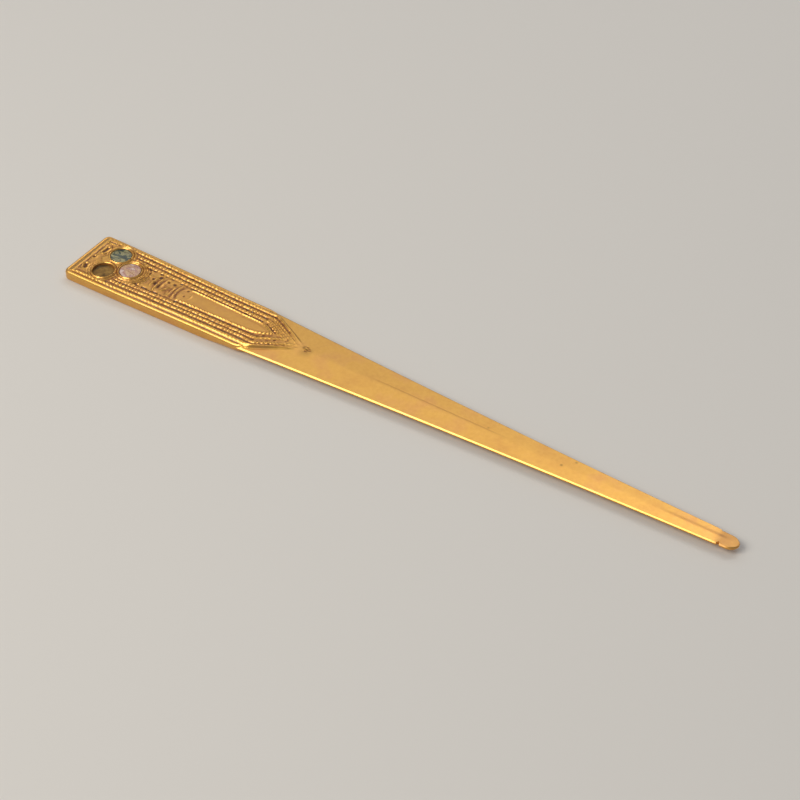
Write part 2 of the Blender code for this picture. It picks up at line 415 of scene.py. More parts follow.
def ropeLine(x, y, inset):
    # the twisted border, pushed out where it passes the pair of cells
    row = np.where(y > 0, 1.0, 2.0)
    outsideCells = cellDistance(x, y, ("green", "empty"))
    pushed = np.maximum(inset, rope["inset"] + rope["aroundCell"] - outsideCells)
    across = pushed - rope["inset"] - relief["nearShift"] * (y < 0) * smoothStep(*rope["nearShiftX"], x)
    across = across - wobble(x, row, rope["wander"])
    lean = rope["slant"] * across * np.where(y > 0, -1, 1)
    twist = np.cos(2 * np.pi * (x + lean + wobble(x, row, rope["pitchDrift"])) / rope["pitch"])
    strength = (rope["wear"][0] + rope["wear"][1] * mottle(x, y, 3.0, 3)) * smoothStep(*rope["twistX"], x)
    inArrow = smoothStep(*rope["arrowX"], x)
    steady, twisted = rope["twist"]
    shape = blend(steady + twisted * twist * strength, rope["arrowShare"], inArrow)
    shape = shape * (rope["buttShares"][0] + rope["buttShares"][1] * smoothStep(*rope["buttX"], x))
    return rope["height"] * hump(across, rope["halfWidth"] - rope["arrowThinning"] * inArrow) * shape


def innerLines(x, y, inset):
    # beaded lines inside the rope, and the pitted grooves between them
    row = np.where(y > 0, 1.0, 2.0)
    inArrow = smoothStep(*lines["arrowX"], x)
    shown = smoothStep(*lines["startX"], x) * smoothStep(*lines["clearOfCell"], cellDistance(x, y))
    farArrow = inArrow * smoothStep(0.2, 0.6, skewed(x, y))
    height, hollow = np.zeros_like(x), np.zeros_like(x)
    drawn = [(start, end, shown) for start, end in lines["insets"]]
    drawn += [(end - 0.2, end, farArrow) for end in lines["extraInsets"]]
    bothSides, farSide = lines["arrowThinning"]
    for number, (start, end, present) in enumerate(drawn):
        line = start + (end - start) * inArrow + wobble(x, row + 3 * number + 3, lines["wander"])
        line = line + relief["nearShift"] * (number == 0) * (y < 0) * (1 - inArrow)
        bar = hump(inset - line, lines["halfWidth"] - (bothSides + farSide * (y > 0)) * inArrow)
        pitch = lines["beadPitch"] - 0.2 * inArrow
        shape = beads(x + 0.4 * number, row + 4 * number, pitch, lines["beading"])
        tall = lines["height"] - lines["lowering"] * min(number, 2)
        height = np.maximum(height, tall * bar * shape * present)
    for number, line in enumerate(lines["grooveInsets"]):
        across = inset - line + inArrow * (0.12 if number else 0.3)
        present = shown * (1 - 0.35 * inArrow) * (smoothStep(*lines["lastGrooveX"], x) if number == 2 else 1)
        punched = pits(x, across, row + 20 + 4 * number, lines["pitPitch"])
        hollow += (punched + lines["grooveShare"] * hump(across, 0.4)) * present
    return height, hollow


def panelRelief(x, y):
    inside = panelInset(x, y)
    beaded, steady = panel["farBeading"]
    broken = beads(x, 31, panel["borderPitch"], panel["borderBeading"])
    broken = broken * np.where(y > 0, beaded, 1) + np.where(y > 0, steady, 0)
    border = panel["borderHeight"] * hump(inside, panel["borderHalfWidth"]) * broken
    opening = smoothStep(panel["start"] + 2.4, panel["start"] + 0.8, x)
    border *= 1 - panel["openStart"] * opening * (np.abs(y) < 2.6)
    place, halfWidth, depth = panel["innerLine"]
    field = panel["height"] * smoothStep(-0.1, 0.2, inside)
    field += panel["crown"] * (1 - np.clip(np.abs(y) / 2, 0, 1) ** 2) * smoothStep(0.2, 0.6, inside)
    field -= depth * hump(inside - place, halfWidth) * smoothStep(*panel["innerLineX"], x)
    field += panel["unevenness"] * mottle(x, y, 1.6, 8) * smoothStep(0.1, 0.4, inside)
    tab = panel["tabHeight"] * smoothStep(0, 0.5, x - panel["tabStart"] - 0.12 * y**2)
    tab = tab * smoothStep(0.1, -0.2, inside) * (np.abs(y) < 3.2) * smoothStep(*panel["tabEndX"], x)
    return np.maximum.reduce([border, field, tab]), inside


def rippleRelief(x, y, inset):
    # collars round the cells, ripples that spread from them, and the bars that follow
    around = cellDistance(x, y)
    height = collar["height"] * hump(around - collar["halfWidth"], collar["halfWidth"] + collar["foot"])
    near = smoothStep(0.9, 1.5, inset)
    place, halfWidth, tall = collar["second"]
    height = np.maximum(height, tall * hump(around - place, halfWidth) * near)
    place, halfWidth, tall = collar["third"]
    third = tall * hump(around - place, halfWidth) * near * smoothStep(*collar["thirdX"], x)
    height = np.maximum(height, third * smoothStep(2.5, 1.0, y))
    pinkX, pinkY, _ = cells["pink"]
    reach = np.hypot(x - pinkX, y - pinkY)
    field = smoothStep(5.0, 5.7, inset) * smoothStep(*collar["rippleX"], x)
    for number, radius in enumerate(collar["ripples"]):
        bar = hump(reach - radius - wobble(y * 2.2 + number, number, 0.1), collar["rippleHalfWidth"])
        bar = collar["rippleHeight"] * bar * field * beads(y * 1.3 + number, number, 2.4, 0.3)
        height = np.maximum(height, bar)
    for number, (barX, lean, bow, low, high, tall) in enumerate(bars):
        line = x - barX - lean * y - bow * y * y - wobble(y * 1.7, number, 0.12)
        ends = smoothStep(low - 0.5, low + 0.4, y) * smoothStep(high + 0.5, high - 0.4, y)
        bar = tall * hump(line, collar["barHalfWidth"]) * ends * beads(y + number, number + 50, 1.5, 0.35)
        height = np.maximum(height, bar)
    hollow = np.zeros_like(x)
    for px, py, sizeX, sizeY, deep in hollows:
        hollow = np.maximum(hollow, deep * spot(x, y, px, py, sizeX, sizeY) ** 0.7)
    return height, hollow


def buttRelief(x, y):
    # loops round slots, a step, two specks and the smooth lozenge between the cells, on a raised pad
    drawn = [(loop(x, y, *shape), share, deep) for *shape, share, deep in butt["loops"]]
    raised = np.maximum.reduce([share * bar for (bar, slot), share, deep in drawn])
    hollow = np.maximum.reduce([deep * slot for (bar, slot), share, deep in drawn])
    startX, endX = butt["padX"]
    pad = butt["padHeight"] * smoothStep(*startX, x) * smoothStep(*endX, x)
    height = pad * smoothStep(*butt["padY"], np.abs(y)) + butt["loopHeight"] * raised
    step = butt["stepHeight"] * hump(x - 4.0 - 0.1 * np.sin(y), 0.4)
    step = step * smoothStep(1.2, 1.8, y) * smoothStep(6.9, 6.3, y)
    specks = butt["speckHeight"] * np.maximum.reduce([spot(x, y, *speck) for speck in butt["specks"]])
    middleX, middleY = butt["lozenge"]
    across = np.abs(x - middleX) * 0.85 + np.abs(y - middleY) * 0.8
    lozenge = butt["lozengeHeight"] * smoothStep(2.1, 1.5, across)
    along = butt["borderHollow"] * hump(x - 3.45 - 0.1 * np.sin(1.3 * y), 0.32) * smoothStep(8, 7, np.abs(y))
    curved = butt["cellHollow"] * hump(x - 6.7 + 0.16 * (y - 4) ** 2, 0.3)
    curved = curved * smoothStep(1.5, 2.2, y) * smoothStep(7.5, 6.8, y)
    return np.maximum.reduce([height, step, specks, lozenge]), np.maximum.reduce([hollow, along, curved])


def plateTop(x, y):
    plate, border, inset = insets(x, y)
    inArrow = smoothStep(*handle["arrowX"], x)
    radius = blend(handle["edgeRounding"], handle["arrowRounding"], inArrow)
    foot = blend(handle["wallTop"], handle["arrowWallTop"], inArrow)
    top = blend(handle["rim"], handle["arrowRim"], inArrow)
    sideSlope, arrowSlope = handle["wallSlopes"]
    rounding = np.clip(plate / radius, 0, 1)
    rounded = foot + (top - foot) * np.sqrt(1 - (1 - rounding) ** 2) + np.minimum(plate, 0) * sideSlope
    sloped = foot + (top - foot) * smoothStep(-handle["arrowFoot"], radius, plate)
    sloped = sloped + np.minimum(plate + handle["arrowFoot"], 0) * arrowSlope
    wall = blend(rounded, sloped, inArrow)
    linesHeight, linesHollow = innerLines(x, y, inset)
    panelHeight, inside = panelRelief(x, skewed(x, y))
    rippleHeight, rippleHollow = rippleRelief(x, y, inset)
    buttHeight, buttHollow = buttRelief(x, y)
    linesHeight = linesHeight * smoothStep(0.1, -0.5, inside)
    height = np.maximum.reduce([ropeLine(x, y, inset), linesHeight, panelHeight, rippleHeight, buttHeight])
    clear = smoothStep(0.6, 1.1, cellDistance(x, y)) * smoothStep(0.2, -0.1, inside)
    hollow = np.clip(linesHollow + rippleHollow + buttHollow, 0, 1) * clear
    grain = sum(tall * mottle(x, y, size, row) for tall, size, row in relief["grain"])
    grain = grain * smoothStep(-0.1, -0.4, inside)
    face = relief["ground"] + height - relief["pitDepth"] * hollow + grain
    mixed = wall + (face - wall) * smoothStep(*relief["start"], border)
    place, halfWidth, depth = relief["groove"]
    mixed = mixed - depth * hump(border - place, halfWidth)
    return np.minimum(np.where(plate < radius, np.minimum(wall, mixed), mixed), crestHeight - 0.01)


# Blade

# x, y, half length, half width, height
knotLumps = ((85.3, 0.8, 0.7, 0.75, 0.3), (86.6, -0.4, 0.6, 0.5, 0.12))
knotPits = ((86.3, 0.35), (85.8, -0.25), (85.7, 1.5), (87.0, 0.6), (86.5, 1.1))


def bladeHalfThickness(x, y):
    side = np.where(y > 0, outline(x, 1), outline(x, 0))
    share = np.clip((x - handle["shoulderX"]) / (fullLength - handle["shoulderX"]), 0, 1)
    thin = np.sqrt(np.clip((fullLength - x) / blade["noseThinning"], 0, 1)) * 0.45 + 0.55
    crown = (blade["rootCrown"] + (blade["tipCrown"] - blade["rootCrown"]) * share) * thin
    flat = np.maximum(side - blade["bevelWidth"], 0.2)
    softened = np.sqrt(y**2 + blade["crownRounding"] ** 2) - blade["crownRounding"]
    roof = crown - (crown - blade["shoulder"]) * np.clip(softened / flat, 0, 1)
    place, halfWidth, depth = blade["scratch"]
    startX, endX = blade["scratchX"]
    roof = roof - depth * hump(y - place, halfWidth) * smoothStep(*startX, x) * smoothStep(*endX, x)
    return blade["edge"] + (roof - blade["edge"]) * np.clip((side - np.abs(y)) / blade["bevelWidth"], 0, 1)


def knot(x, y):
    # a small rough flaw of the casting just past the arrow's point
    lump = sum(tall * spot(x, y, px, py, sizeX, sizeY) for px, py, sizeX, sizeY, tall in knotLumps)
    for px, py in knotPits:
        lump = lump - 0.3 * spot(x, y, px, py, 0.42, 0.36)
    return lump


def topHeight(x, y):
    bladeTop = blade["midHeight"] + bladeHalfThickness(x, y) + knot(x, y)
    top = plateTop(x, y)
    sunk = bladeTop + (top - bladeTop) * (1 - handle["sink"] * smoothStep(*handle["sinkX"], x))
    return np.where(x > handle["taperLength"] - 1, np.maximum(bladeTop, sunk), top)


def backHeight(x, y):
    plate = insets(x, y)[0]
    radius = handle["backRounding"] + handle["shoulderBackEase"] * smoothStep(*handle["shoulderBackX"], x)
    rounding = np.clip(plate / radius, 0, 1)
    rounded = radius * (1 - np.sqrt(1 - (1 - rounding) ** 2))
    back = np.where(plate < 0, radius - plate * handle["wallSlopes"][0], rounded)
    bladeBack = blade["midHeight"] - bladeHalfThickness(x, y)
    return np.where(x > handle["taperLength"] - 1, np.minimum(bladeBack, back), back)


# The casting's mesh

mesh = {
    "fineStep": 0.2,
    "fineEnd": 90.0,
    "bladeStep": 1.25,
    "cornerSections": 13,
    "nickSections": 19,
    "nickMargins": (1.4, 0.7, 0.9),  # from the last plain section, round the nicks, and to the next one
    "runSections": 4,
    "noseSections": 15,
    "topColumns": 114,
    "edgeColumns": 6,
    "wallColumns": 5,
    "backColumns": 22,
}


def ringPlaces():
    # sections from butt to tip: close together round the corners and through the relief
    turns = np.linspace(0, math.pi / 2, mesh["cornerSections"])
    corner = handle["cornerRadius"] * (1 - np.cos(turns))
    fine = np.arange(corner[-1] + mesh["fineStep"], mesh["fineEnd"], mesh["fineStep"])
    nose = fullLength - blade["noseRadius"]
    nickLow, nickHigh = min(blade["nickX"]), max(blade["nickX"])
    before, margin, after = mesh["nickMargins"]
    plain = np.arange(mesh["fineEnd"], nickLow - before, mesh["bladeStep"])
    nicks = np.linspace(nickLow - margin, nickHigh + margin, mesh["nickSections"])
    run = np.linspace(nickHigh + after, nose - 0.2, mesh["runSections"])
    tip = nose + blade["noseRadius"] * np.sin(np.linspace(0, math.pi / 2, mesh["noseSections"]))
    return np.concatenate([corner, fine, plain, nicks, run, tip])


def topShares(x):
    # y of each column across the top, with columns gathered along both edges
    edgeColumns = mesh["edgeColumns"]
    bladeShare = smoothStep(handle["taperLength"], handle["shoulderX"], x)
    band = blend(handle["edgeRounding"], blade["bevelWidth"], bladeShare)
    near, far = outline(x, 0), outline(x, 1)
    band = np.minimum(band, 0.35 * np.minimum(near, far))
    curved = 1 - np.cos(np.linspace(0, math.pi / 2, edgeColumns + 1)[:-1])
    even = np.linspace(0, 1, edgeColumns + 1)[:-1]
    edge = blend(curved[None, :], even[None, :], bladeShare[:, None])
    nearEdge = -near[:, None] + edge * band[:, None]
    farEdge = (far[:, None] - edge * band[:, None])[:, ::-1]
    middle = np.linspace(0, 1, mesh["topColumns"] + 1 - 2 * edgeColumns)
    span = near + far - 2 * band
    centre = -near[:, None] + band[:, None] + middle[None, :] * span[:, None]
    return np.concatenate([nearEdge, centre, farEdge], axis=1)


def ringPoints(x):
    # (x, y, z) of every column of every section, once round
    topY = topShares(x)
    topX = np.repeat(x[:, None], topY.shape[1], axis=1)
    topZ = topHeight(topX, topY)
    backTurn = np.linspace(0, 1, mesh["backColumns"] + 1)
    backY = np.cos(np.pi * backTurn)[None, :]
    near, far = outline(x, 0)[:, None], outline(x, 1)[:, None]
    backY = np.where(backY > 0, backY * far, backY * near)
    backX = np.repeat(x[:, None], backY.shape[1], axis=1)
    backZ = backHeight(backX, backY)
    shares = np.linspace(0, 1, mesh["wallColumns"] + 1)[1:-1]
    farZ = topZ[:, -1:] + (backZ[:, :1] - topZ[:, -1:]) * shares[None, :]
    nearZ = backZ[:, -1:] + (topZ[:, :1] - backZ[:, -1:]) * shares[None, :]
    ones = np.ones((1, len(shares)))
    y = np.concatenate([topY, far * ones, backY, -near * ones, topY[:, :1]], axis=1)
    z = np.concatenate([topZ, farZ, backZ, nearZ, topZ[:, :1]], axis=1)
    return np.repeat(x[:, None], y.shape[1], axis=1), y, z


def toFrame(x, y, z):
    return np.stack([buttX + x * mm, y * mm, z * mm], axis=-1)


def newObject(name, bm, material):
    data = bpy.data.meshes.new(name)
    bm.to_mesh(data)
    bm.free()
    data.materials.append(material)
    data.shade_smooth()
    obj = bpy.data.objects.new(name, data)
    bpy.context.scene.collection.objects.link(obj)
    return obj


def castingMesh():
    # a flat grid wrapped onto the sections, its long edges joined and both ends closed
    px, py, pz = ringPoints(ringPlaces())
    rings, columns = px.shape
    bm = bmesh.new()
    bmesh.ops.create_grid(bm, x_segments=rings - 1, y_segments=columns - 1, size=1)
    flat = np.array([v.co[:2] for v in bm.verts])
    ring = np.rint((flat[:, 0] + 1) / 2 * (rings - 1)).astype(int)
    column = np.rint((flat[:, 1] + 1) / 2 * (columns - 1)).astype(int)
    places = toFrame(px, py, pz)[ring, column]
    for vert, place in zip(bm.verts, places.tolist()):
        vert.co = place
    bmesh.ops.remove_doubles(bm, verts=bm.verts, dist=1e-8)
    bmesh.ops.holes_fill(bm, edges=[e for e in bm.edges if e.is_boundary], sides=0)
    bmesh.ops.recalc_face_normals(bm, faces=bm.faces)
    return bm


cutter = {
    "segments": 72,
    "floor": 2.1,
    "depth": 4.0,
}


def cellCutter():
    bm = bmesh.new()
    radius = collar["wallRadius"] * mm
    for cx, cy, _ in cells.values():
        made = bmesh.ops.create_cone(
            bm, cap_ends=True, segments=cutter["segments"],
            radius1=radius, radius2=radius, depth=cutter["depth"] * mm,
        )
        middle = Vector(toFrame(cx, cy, cutter["floor"] + cutter["depth"] / 2))
        bmesh.ops.translate(bm, verts=made["verts"], vec=middle)
    return newObject("cellCutter", bm, bpy.data.materials.new("cutter"))


def cutCells(obj):
    tool = cellCutter()
    modifier = obj.modifiers.new("cells", "BOOLEAN")
    modifier.operation = "DIFFERENCE"
    modifier.solver = "EXACT"
    modifier.object = tool
    bpy.context.view_layer.update()
    cut = bpy.data.meshes.new_from_object(obj.evaluated_get(bpy.context.evaluated_depsgraph_get()))
    obj.modifiers.clear()
    obj.data = cut
    bpy.data.objects.remove(tool, do_unlink=True)


# Patina, and painted shade on the cell walls and along the blade's ridge near the tip

patinaAndPaintedShade = {
    "gridStep": 0.15,
    "gridX": (-1, 92),
    "gridY": (-11, 11.01),
    "surround": 0.7,  # how wide a ground each point is compared with
    "fullHeight": 0.3,
    "faceHeight": 2.6,
    "faceEnd": 91,
    "faceInset": 0.3,
    "knot": (86, 0.4, 2.4),  # x, y, radius
    "faceDulling": 0.22,  # the whole decorated face is a little duller than the blade
    "faceDullingX": (84, 76),
    # painted shade: the cells' walls are set far down, so they come out in dark oxide colour like the shade
    # inside a recess
    "cellWallPaintedShade": -0.75,
    "streaksAndPaintedShade": (  # strength, y, half width, where it starts, where it ends
        # painted shade: the first is a darker line along the blade's middle ridge toward the tip, the second
        # darkens the faint scratch line
        (0.26, 0.35, 0.7, (200, 212), (227, 222)),
        (0.35, 0.95, 0.3, (106, 116), (158, 148)),
    ),
    # darker and rougher past the nicks
    "tipDarkening": 0.3,
    "tipDarkeningX": (221.5, 224),
}


def blur(field, sigma):
    reach = int(3 * sigma) + 1
    kernel = np.exp(-0.5 * (np.arange(-reach, reach + 1) / sigma) ** 2)
    kernel /= kernel.sum()
    padded = np.pad(field, reach, mode="edge")
    padded = np.apply_along_axis(np.convolve, 0, padded, kernel, mode="valid")
    return np.apply_along_axis(np.convolve, 1, padded, kernel, mode="valid")


def reliefAndPaintedShadeAttribute(obj):
    # how far each point of the decorated face stands above or below what is round it, with painted shade set
    # on the cell walls and along the blade's ridge near the tip
    step = patinaAndPaintedShade["gridStep"]
    gridX = np.arange(*patinaAndPaintedShade["gridX"], step)
    gridY = np.arange(*patinaAndPaintedShade["gridY"], step)
    height = topHeight(*np.meshgrid(gridX, gridY, indexing="ij"))
    stand = (height - blur(height, patinaAndPaintedShade["surround"] / step)) / patinaAndPaintedShade["fullHeight"]
    co = np.empty(len(obj.data.vertices) * 3, np.float32)
    obj.data.vertices.foreach_get("co", co)
    co = co.reshape(-1, 3)
    x, y, z = (co[:, 0] - buttX) / mm, co[:, 1] / mm, co[:, 2] / mm
    i = np.clip((x - gridX[0]) / step, 0, len(gridX) - 1.001)
    j = np.clip((y - gridY[0]) / step, 0, len(gridY) - 1.001)
    i0, j0 = i.astype(int), j.astype(int)
    fi, fj = i - i0, j - j0
    value = (stand[i0, j0] * (1 - fi) + stand[i0 + 1, j0] * fi) * (1 - fj)
    value += (stand[i0, j0 + 1] * (1 - fi) + stand[i0 + 1, j0 + 1] * fi) * fj
    knotX, knotY, knotRadius = patinaAndPaintedShade["knot"]
    onKnot = np.hypot(x - knotX, y - knotY) < knotRadius
    onPlate = insets(x, y)[0] > patinaAndPaintedShade["faceInset"]
    facing = (z > patinaAndPaintedShade["faceHeight"]) & (x < patinaAndPaintedShade["faceEnd"]) & (onPlate | onKnot)
    value -= patinaAndPaintedShade["faceDulling"] * smoothStep(*patinaAndPaintedShade["faceDullingX"], x)
    # painted shade on the cells' walls
    value = np.where(cellDistance(x, y) < 0.03, patinaAndPaintedShade["cellWallPaintedShade"], value)
    # painted shade along the ridge near the tip, with the darker scratch line and the darker tip past the
    # nicks
    darkStreakAndPaintedShade = np.zeros_like(x)
    for strength, middle, halfWidth, startX, endX in patinaAndPaintedShade["streaksAndPaintedShade"]:
        darkStreakAndPaintedShade += strength * hump(y - middle, halfWidth) * smoothStep(*startX, x) * smoothStep(*endX, x)
    darkStreakAndPaintedShade += patinaAndPaintedShade["tipDarkening"] * smoothStep(*patinaAndPaintedShade["tipDarkeningX"], x)
    attribute = obj.data.attributes.new("relief", "FLOAT", "POINT")
    attribute.data.foreach_set("value", np.where(facing, value, -darkStreakAndPaintedShade).astype(np.float32))


# Materials

def linear(hexColour):
    # an sRGB hex value as linear colour
    parts = [int(hexColour[i : i + 2], 16) / 255 for i in (0, 2, 4)]
    return [p / 12.92 if p <= 0.04045 else ((p + 0.055) / 1.055) ** 2.4 for p in parts] + [1.0]


def node(tree, kind, sockets=(), stops=(), **settings):
    # adds a node; sockets are (input, value or the output that feeds it), stops are a colour ramp's
    made = tree.nodes.new("ShaderNode" + kind)
    for key, value in settings.items():
        setattr(made, key, value)
    feed(tree, made, sockets)
    elements = made.color_ramp.elements if stops else ()
    while len(elements) < len(stops):
        elements.new(0.5)
    for element, (position, value) in zip(elements, stops):
        element.position = position
        element.color = linear(value) if isinstance(value, str) else (value, value, value, 1)
    return made


def feed(tree, made, sockets):
    for key, value in sockets:
        if isinstance(value, bpy.types.NodeSocket):
            tree.links.new(value, made.inputs[key])
        else:
            made.inputs[key].default_value = value


def newMaterial(name):
    material = bpy.data.materials.new(name)
    material.use_nodes = True
    tree = material.node_tree
    return material, tree, tree.nodes["Principled BSDF"]


gilding = {
    "gold": ((0.3, "E2A953"), (0.5, "ECB656"), (0.72, "E6AA5E")),
    "worn": ((0.35, "D3914A"), (0.65, "F0BC68")),
    "wornShare": 0.2,
    "oxide": ((0.0, "4A2008"), (0.16, "84481A"), (0.32, "C68A44")),
    "oxideCover": ((0.2, 0.95), (0.36, 0.35), (0.5, 0.0)),  # from the hollows up
    "metallic": ((0.12, 0.2), (0.3, 0.75), (0.42, 1.0)),
    "roughness": ((0.2, 0.6), (0.5, 0.37), (0.85, 0.38)),
    "broadPerMm": 0.12,  # drifts of colour about 8 mm across
    "wearPerMm": 0.9,
    "grainPerMm": 3.0,
    "grainDepth": 0.05,
    "stainAndPaintedShade": "A07438",
    "stainHeight": 3.1,
}

stainsAndPaintedReflection = (  # x, y, radius, strength
    # the first is a darker brown patch round the knot, partly its own staining and partly a painted
    # reflection; the others are spots of staining
    (86.3, -0.6, 3.2, 0.5),
    (174.0, -0.1, 0.75, 0.9),
    (177.0, 3.2, 0.7, 0.8),
    (149.0, 1.6, 0.6, 0.5),
)


def gildedBronze():
    # cast bronze, gilt and satin finished: warm gold, brown oxide in the hollows
    # its lacquer adds the whiter glints
    # painted shade on the cell walls and along the blade's ridge comes in through the relief attribute and
    # turns to dark oxide colour
    material, tree, shader = newMaterial("gilt bronze, satin finished, lacquered")
    place = node(tree, "TexCoord").outputs["Object"]
    standingAndPaintedShade = node(tree, "Attribute", attribute_name="relief").outputs["Fac"]
    liftedAndPaintedShade = node(tree, "Math", [(0, standingAndPaintedShade), (1, 0.5), (2, 0.5)], operation="MULTIPLY_ADD").outputs[0]
    broad, wear, grain = (
        node(
            tree, "TexNoise",
            [("Vector", place), ("Scale", perMm / mm), ("Detail", detail), ("Roughness", roughness)],
        ).outputs["Fac"]
        for perMm, detail, roughness in (
            (gilding["broadPerMm"], 4, 0.55),
            (gilding["wearPerMm"], 5, 0.6),
            (gilding["grainPerMm"], 3, 0.55),
        )
    )
    gold = node(tree, "ValToRGB", [("Fac", broad)], gilding["gold"]).outputs["Color"]
    worn = node(tree, "ValToRGB", [("Fac", wear)], gilding["worn"]).outputs["Color"]
    layers = [(gilding["wornShare"], worn)]
    # staining, and the painted reflection round the knot, darken the gold
    for px, py, radius, strength in stainsAndPaintedReflection:
        middle = Vector(toFrame(px, py, gilding["stainHeight"]))
        reach = node(tree, "VectorMath", [(0, place), (1, middle)], operation="DISTANCE").outputs["Value"]
        spread = [("Value", reach), ("From Max", radius * mm), ("To Min", strength), ("To Max", 0.0)]
        stainedAndPaintedShade = node(tree, "MapRange", spread, interpolation_type="SMOOTHSTEP").outputs["Result"]
        layers.append((stainedAndPaintedShade, linear(gilding["stainAndPaintedShade"])))
    oxide, cover, metallic, roughness = (
        node(tree, "ValToRGB", [("Fac", liftedAndPaintedShade)], gilding[key]).outputs["Color"]
        for key in ("oxide", "oxideCover", "metallic", "roughness")
    )
    colour = gold
    for share, layer in layers + [(cover, oxide)]:
        colour = node(tree, "Mix", [(0, share), (6, colour), (7, layer)], data_type="RGBA").outputs[2]
    depth = gilding["grainDepth"] * mm
    bump = node(tree, "Bump", [("Height", grain), ("Strength", 0.12), ("Distance", depth)])
    feed(tree, shader, [
        ("Base Color", colour), ("Metallic", metallic), ("Roughness", roughness),
        ("Normal", bump.outputs["Normal"]), ("Coat Weight", 0.5), ("Coat Roughness", 0.22),
    ])
    return material


shells = {
    "green": {
        "layers": (
            (0.32, "101E18"), (0.42, "22342A"), (0.5, "485032"),
            (0.56, "ACA470"), (0.61, "5C5434"), (0.72, "40363C"),
        ),
        "moved": (0.013, 0.002, 0),  # which part of the pattern shows
    },
    "pink": {
        "layers": (
            (0.3, "74402A"), (0.41, "B07650"), (0.48, "E0BA8E"),
            (0.55, "B47A70"), (0.62, "EAD4C8"), (0.72, "CFA8AC"),
        ),
        "moved": (0.021, 0.007, 0),
    },
    "stretch": (1.0, 1.8, 1.0),
    "layersPerMm": 0.24,
    "veinsPerMm": 0.9,
    "veins": ((0.44, 1.0), (0.5, 0.35), (0.56, 1.0)),
    "veinShare": 0.5,
    "waviness": 0.2,
}


def shell(name, kind):
    # polished shell: wavy layers that turn from one colour to another, under a glassy surface
    material, tree, shader = newMaterial(name)
    place = node(tree, "TexCoord").outputs["Object"]
    moved = node(tree, "Mapping", [
        ("Vector", place), ("Location", shells[kind]["moved"]), ("Scale", shells["stretch"]),
    ]).outputs["Vector"]
    layers, veins = (
        node(tree, "TexNoise", [
            ("Vector", moved), ("Scale", perMm / mm), ("Detail", 4),
            ("Roughness", roughness), ("Distortion", distortion),
        ]).outputs["Fac"]
        for perMm, roughness, distortion in (
            (shells["layersPerMm"], 0.55, 0.8),
            (shells["veinsPerMm"], 0.65, 2.0),
        )
    )
    colour = node(tree, "ValToRGB", [("Fac", layers)], shells[kind]["layers"]).outputs["Color"]
    dark = node(tree, "ValToRGB", [("Fac", veins)], shells["veins"]).outputs["Color"]
    darkened = [(0, shells["veinShare"]), (6, colour), (7, dark)]
    colour = node(tree, "Mix", darkened, data_type="RGBA", blend_type="MULTIPLY").outputs[2]
    depth = shells["waviness"] * mm
    bump = node(tree, "Bump", [("Height", layers), ("Strength", 0.25), ("Distance", depth)])
    feed(tree, shader, [
        ("Base Color", colour), ("Normal", bump.outputs["Normal"]),
        ("Roughness", 0.22), ("Coat Weight", 0.6), ("Coat Roughness", 0.08),
    ])
    return material


resin = {
    "patches": ((0.3, "4A3514"), (0.5, "86642C"), (0.7, "AC8844")),
    "patchesPerMm": 0.5,
    "crustPerMm": 2.0,
    "crustDepth": 0.1,
    # painted shadow: the cement is darker toward the butt and the far side, where the cell's wall shades it
    "paintedShadowAcross": (0.85, -0.53),  # the cement is darker on the side this points away from
    "paintedShadowFrom": -3.2,
    "paintedShadowTo": -1.0,
    "paintedShadowDepth": 0.25,
}


def resinCement():
    # old brown resin cement: dull, crusty, patched olive, with a painted shadow on the side toward the butt
    # and the far side
    material, tree, shader = newMaterial("old resin cement, stained")
    place = node(tree, "TexCoord").outputs["Object"]
    patches, crust = (
        node(
            tree, "TexNoise",
            [("Vector", place), ("Scale", perMm / mm), ("Detail", 5), ("Roughness", roughness)],
        ).outputs["Fac"]
        for perMm, roughness in ((resin["patchesPerMm"], 0.6), (resin["crustPerMm"], 0.55))
    )
    colour = node(tree, "ValToRGB", [("Fac", patches)], resin["patches"]).outputs["Color"]
    acrossX, acrossY = resin["paintedShadowAcross"]
    lean = [(0, place), (1, (acrossX, acrossY, 0))]
    across = node(tree, "VectorMath", lean, operation="DOT_PRODUCT").outputs["Value"]
    cx, cy, _ = cells["empty"]
    middle = (buttX + cx * mm) * acrossX + cy * mm * acrossY
    # painted shadow across the cement
    stainAndPaintedShade = node(tree, "MapRange", [
        ("Value", across), ("From Min", middle + resin["paintedShadowFrom"] * mm),
        ("From Max", middle + resin["paintedShadowTo"] * mm), ("To Min", resin["paintedShadowDepth"]),
    ], interpolation_type="SMOOTHSTEP").outputs["Result"]
    darkened = [(0, 1.0), (6, colour), (7, stainAndPaintedShade)]
    colour = node(tree, "Mix", darkened, data_type="RGBA", blend_type="MULTIPLY").outputs[2]
    depth = resin["crustDepth"] * mm
    bump = node(tree, "Bump", [("Height", crust), ("Strength", 0.5), ("Distance", depth)])
    feed(tree, shader, [("Base Color", colour), ("Normal", bump.outputs["Normal"]), ("Roughness", 0.75)])
    return material


# Discs and cement

tablets = {  # top is measured from the top of the CAD piece, row picks the unevenness
    "green": {"radius": 3.32, "bottom": 3.2, "top": -0.05, "crown": 0.1, "uneven": 0.03, "row": 3},
    "pink": {"radius": 3.32, "bottom": 3.2, "top": -0.02, "crown": 0.08, "uneven": 0.04, "row": 4},
    "empty": {"radius": 3.36, "bottom": 2.2, "top": 0.25, "crown": -0.15, "uneven": 0.16, "row": 5},
    "segments": 64,
    "edgeDrop": 0.18,
    "lumpSize": 1.3,
}


